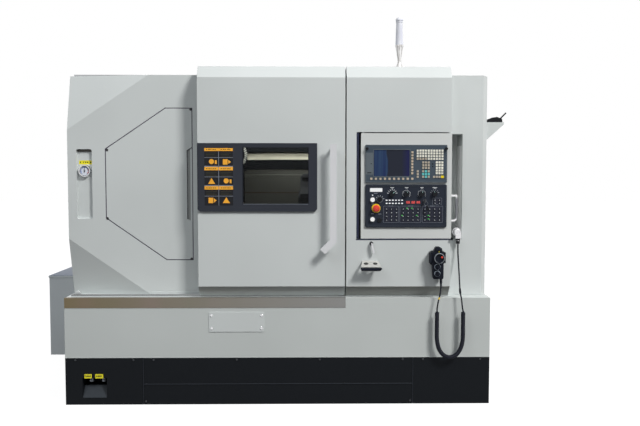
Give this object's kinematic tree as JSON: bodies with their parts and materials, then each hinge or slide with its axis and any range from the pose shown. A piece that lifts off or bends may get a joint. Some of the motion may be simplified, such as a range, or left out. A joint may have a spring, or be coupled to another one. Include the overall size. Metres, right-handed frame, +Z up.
{
  "type": "cnc turning lathe",
  "caption": "Enclosed slant-bed turning centre with a sliding door, a swivelling control panel, a chuck, a tool turret, a tailstock and a hand-held pendant on a curly cord.",
  "frame": {"origin": "on the floor, in the middle of the base's footprint", "axes": "+X to the operator's right along the spindle, +Y to the back of the machine, +Z up"},
  "size_m": [3.238, 1.836, 2.331],
  "materials": {
    "plinth": "satin black paint",
    "valve_metal": "turned",
    "base_paint": "fine textured paint",
    "cover_paint": "fine textured paint",
    "brushed_strip": "brushed along its length",
    "casting": "painted casting",
    "ground_steel": "ground",
    "dark_steel": "blackened",
    "stainless_sheet": "brushed sheet",
    "gauge_case": "black ring round a pale dial",
    "black_paint": "satin",
    "tank_paint": "satin paint",
    "frame_plastic": "satin dark paint",
    "window_pane": "clear",
    "handle_metal": "satin",
    "panel_paint": "fine textured paint",
    "unit_plastic": "light keys on a dark screen frame",
    "board_plastic": "dark board with light keys",
    "dark_plastic": "moulded",
    "knob_plastic": "moulded",
    "key_metal": "polished",
    "stop_red": "moulded",
    "white_plastic": "moulded",
    "tower_plastic": "silver grey",
    "tower_cap": "clear tube with a dark ring",
    "gun_plastic": "moulded",
    "plug_metal": "plated",
    "pendant_plastic": "moulded",
    "wheel_plastic": "black with a silver rim",
    "cord_jacket": "smooth jacket"
  },
  "bodies": {
    "machine": {"plinth_skirt": "plinth", "drain_plugs": "valve_metal", "base_casing": "base_paint", "base_cover_plate": "cover_paint", "steel_strip": "brushed_strip", "bed_casting": "casting", "z_guideways": "ground_steel", "headstock": "casting", "chamber_liner": "stainless_sheet", "left_cover": "cover_paint", "access_cover": "cover_paint", "pressure_gauge": "gauge_case", "right_cover": "cover_paint", "roof_panel": "cover_paint", "rear_panel": "cover_paint", "operator_cabinet": "cover_paint", "door_rails": "ground_steel", "coolant_tank": "tank_paint", "hook": "knob_plastic", "tool_rack": "cover_paint", "tower_base": "tower_plastic", "tower_lens": "tower_cap", "tool_tray": "cover_paint", "wash_gun": "gun_plastic", "connector": "plug_metal", "pendant_holder": "black_paint", "pendant_body": "pendant_plastic", "cord_upper": "cord_jacket", "cord_curl": "cord_jacket", "cord_lower": "cord_jacket"},
    "sliding_door": {"door_shell": "cover_paint", "window_frame": "frame_plastic", "window_glass": "window_pane", "door_handle": "handle_metal"},
    "operator_panel": {"panel_box": "panel_paint", "cnc_unit": "unit_plastic", "control_board": "board_plastic", "panel_grip": "dark_plastic"},
    "override_1": {"override_knob_1": "knob_plastic"},
    "override_2": {"override_knob_2": "knob_plastic"},
    "override_3": {"override_knob_3": "knob_plastic"},
    "override_4": {"override_knob_4": "knob_plastic"},
    "mode_selector": {"mode_knob": "knob_plastic"},
    "key": {"key_switch": "key_metal"},
    "emergency_stop": {"estop_button": "stop_red"},
    "start": {"start_button": "white_plastic"},
    "stop": {"stop_button": "white_plastic"},
    "spindle": {"chuck": "ground_steel"},
    "jaw_1": {"chuck_jaw_1": "dark_steel"},
    "jaw_2": {"chuck_jaw_2": "dark_steel"},
    "jaw_3": {"chuck_jaw_3": "dark_steel"},
    "carriage": {"saddle": "casting"},
    "cross_carriage": {"cross_slide": "casting"},
    "turret": {"turret_disc": "dark_steel"},
    "tail": {"tailstock": "casting"},
    "needle": {"gauge_needle": "black_paint"},
    "trigger": {"gun_trigger": "dark_plastic"},
    "wheel": {"handwheel": "wheel_plastic"},
    "axis_selector": {"axis_knob": "knob_plastic"},
    "rate_selector": {"rate_knob": "knob_plastic"}
  },
  "joints": [
    {"name": "door_slide", "type": "slide", "parent": "machine", "child": "sliding_door", "axis": [-1, 0, 0], "range_m": [0, 0.72]},
    {"name": "panel_swivel", "type": "hinge", "parent": "machine", "child": "operator_panel", "pos_m": [0.506, -0.811, 1.315], "axis": [0, 0, -1], "range_deg": [0, 75]},
    {"name": "override_turn_1", "type": "hinge", "parent": "operator_panel", "child": "override_1", "pos_m": [0.679, -0.845, 1.269], "axis": [0, -1, 0], "range_deg": [-135, 135]},
    {"name": "override_turn_2", "type": "hinge", "parent": "operator_panel", "child": "override_2", "pos_m": [0.764, -0.845, 1.269], "axis": [0, -1, 0], "range_deg": [-135, 135]},
    {"name": "override_turn_3", "type": "hinge", "parent": "operator_panel", "child": "override_3", "pos_m": [0.855, -0.845, 1.269], "axis": [0, -1, 0], "range_deg": [-135, 135]},
    {"name": "override_turn_4", "type": "hinge", "parent": "operator_panel", "child": "override_4", "pos_m": [0.931, -0.845, 1.269], "axis": [0, -1, 0], "range_deg": [-135, 135]},
    {"name": "mode_turn", "type": "hinge", "parent": "operator_panel", "child": "mode_selector", "pos_m": [0.605, -0.845, 1.236], "axis": [0, -1, 0], "range_deg": [-90, 90]},
    {"name": "key_turn", "type": "hinge", "parent": "operator_panel", "child": "key", "pos_m": [0.873, -0.845, 1.227], "axis": [0, -1, 0], "range_deg": [0, 90]},
    {"name": "estop_push", "type": "slide", "parent": "operator_panel", "child": "emergency_stop", "axis": [0, 1, 0], "range_m": [0, 0.004]},
    {"name": "start_push", "type": "slide", "parent": "operator_panel", "child": "start", "axis": [0, 1, 0], "range_m": [0, 0.003], "stiffness_N_per_m": 600},
    {"name": "stop_push", "type": "slide", "parent": "operator_panel", "child": "stop", "axis": [0, 1, 0], "range_m": [0, 0.003], "stiffness_N_per_m": 600},
    {"name": "spindle_turn", "type": "hinge", "parent": "machine", "child": "spindle", "pos_m": [-0.17, -0.345, 1.03], "axis": [1, 0, 0], "continuous": true},
    {"name": "jaw_slide_1", "type": "slide", "parent": "spindle", "child": "jaw_1", "axis": [0, -0.5, 0.866], "range_m": [-0.008, 0.004]},
    {"name": "jaw_slide_2", "type": "slide", "parent": "spindle", "child": "jaw_2", "axis": [0, -0.5, -0.866], "range_m": [-0.008, 0.004]},
    {"name": "jaw_slide_3", "type": "slide", "parent": "spindle", "child": "jaw_3", "axis": [0, 1, 0], "range_m": [-0.008, 0.004]},
    {"name": "saddle_travel", "type": "slide", "parent": "machine", "child": "carriage", "axis": [1, 0, 0], "range_m": [-0.23, 0.1]},
    {"name": "cross_travel", "type": "slide", "parent": "carriage", "child": "cross_carriage", "axis": [0, -0.866, -0.5], "range_m": [0, 0.11]},
    {"name": "turret_turn", "type": "hinge", "parent": "cross_carriage", "child": "turret", "pos_m": [0.225, -0.04189, 1.205], "axis": [1, 0, 0], "continuous": true},
    {"name": "tailstock_travel", "type": "slide", "parent": "machine", "child": "tail", "axis": [1, 0, 0], "range_m": [0, 0.1]},
    {"name": "needle_turn", "type": "hinge", "parent": "machine", "child": "needle", "pos_m": [-1.175, -0.713, 1.404], "axis": [0, -1, 0], "range_deg": [-135, 135]},
    {"name": "trigger_pull", "type": "hinge", "parent": "machine", "child": "trigger", "pos_m": [1.361, -0.525, 1.706], "axis": [0, 1, 0], "range_deg": [0, 12], "stiffness_Nm_per_rad": 1},
    {"name": "handwheel_turn", "type": "hinge", "parent": "machine", "child": "wheel", "pos_m": [0.952, -0.892, 0.892], "axis": [0, -1, 0], "continuous": true},
    {"name": "axis_turn", "type": "hinge", "parent": "machine", "child": "axis_selector", "pos_m": [0.943, -0.891, 0.84], "axis": [0, -1, 0], "range_deg": [-120, 120]},
    {"name": "rate_turn", "type": "hinge", "parent": "machine", "child": "rate_selector", "pos_m": [0.943, -0.891, 0.799], "axis": [0, -1, 0], "range_deg": [-60, 60]}
  ],
  "couplings": [
    {"joint": "jaw_slide_2", "follows": "jaw_slide_1", "ratio": 1},
    {"joint": "jaw_slide_3", "follows": "jaw_slide_1", "ratio": 1}
  ]
}
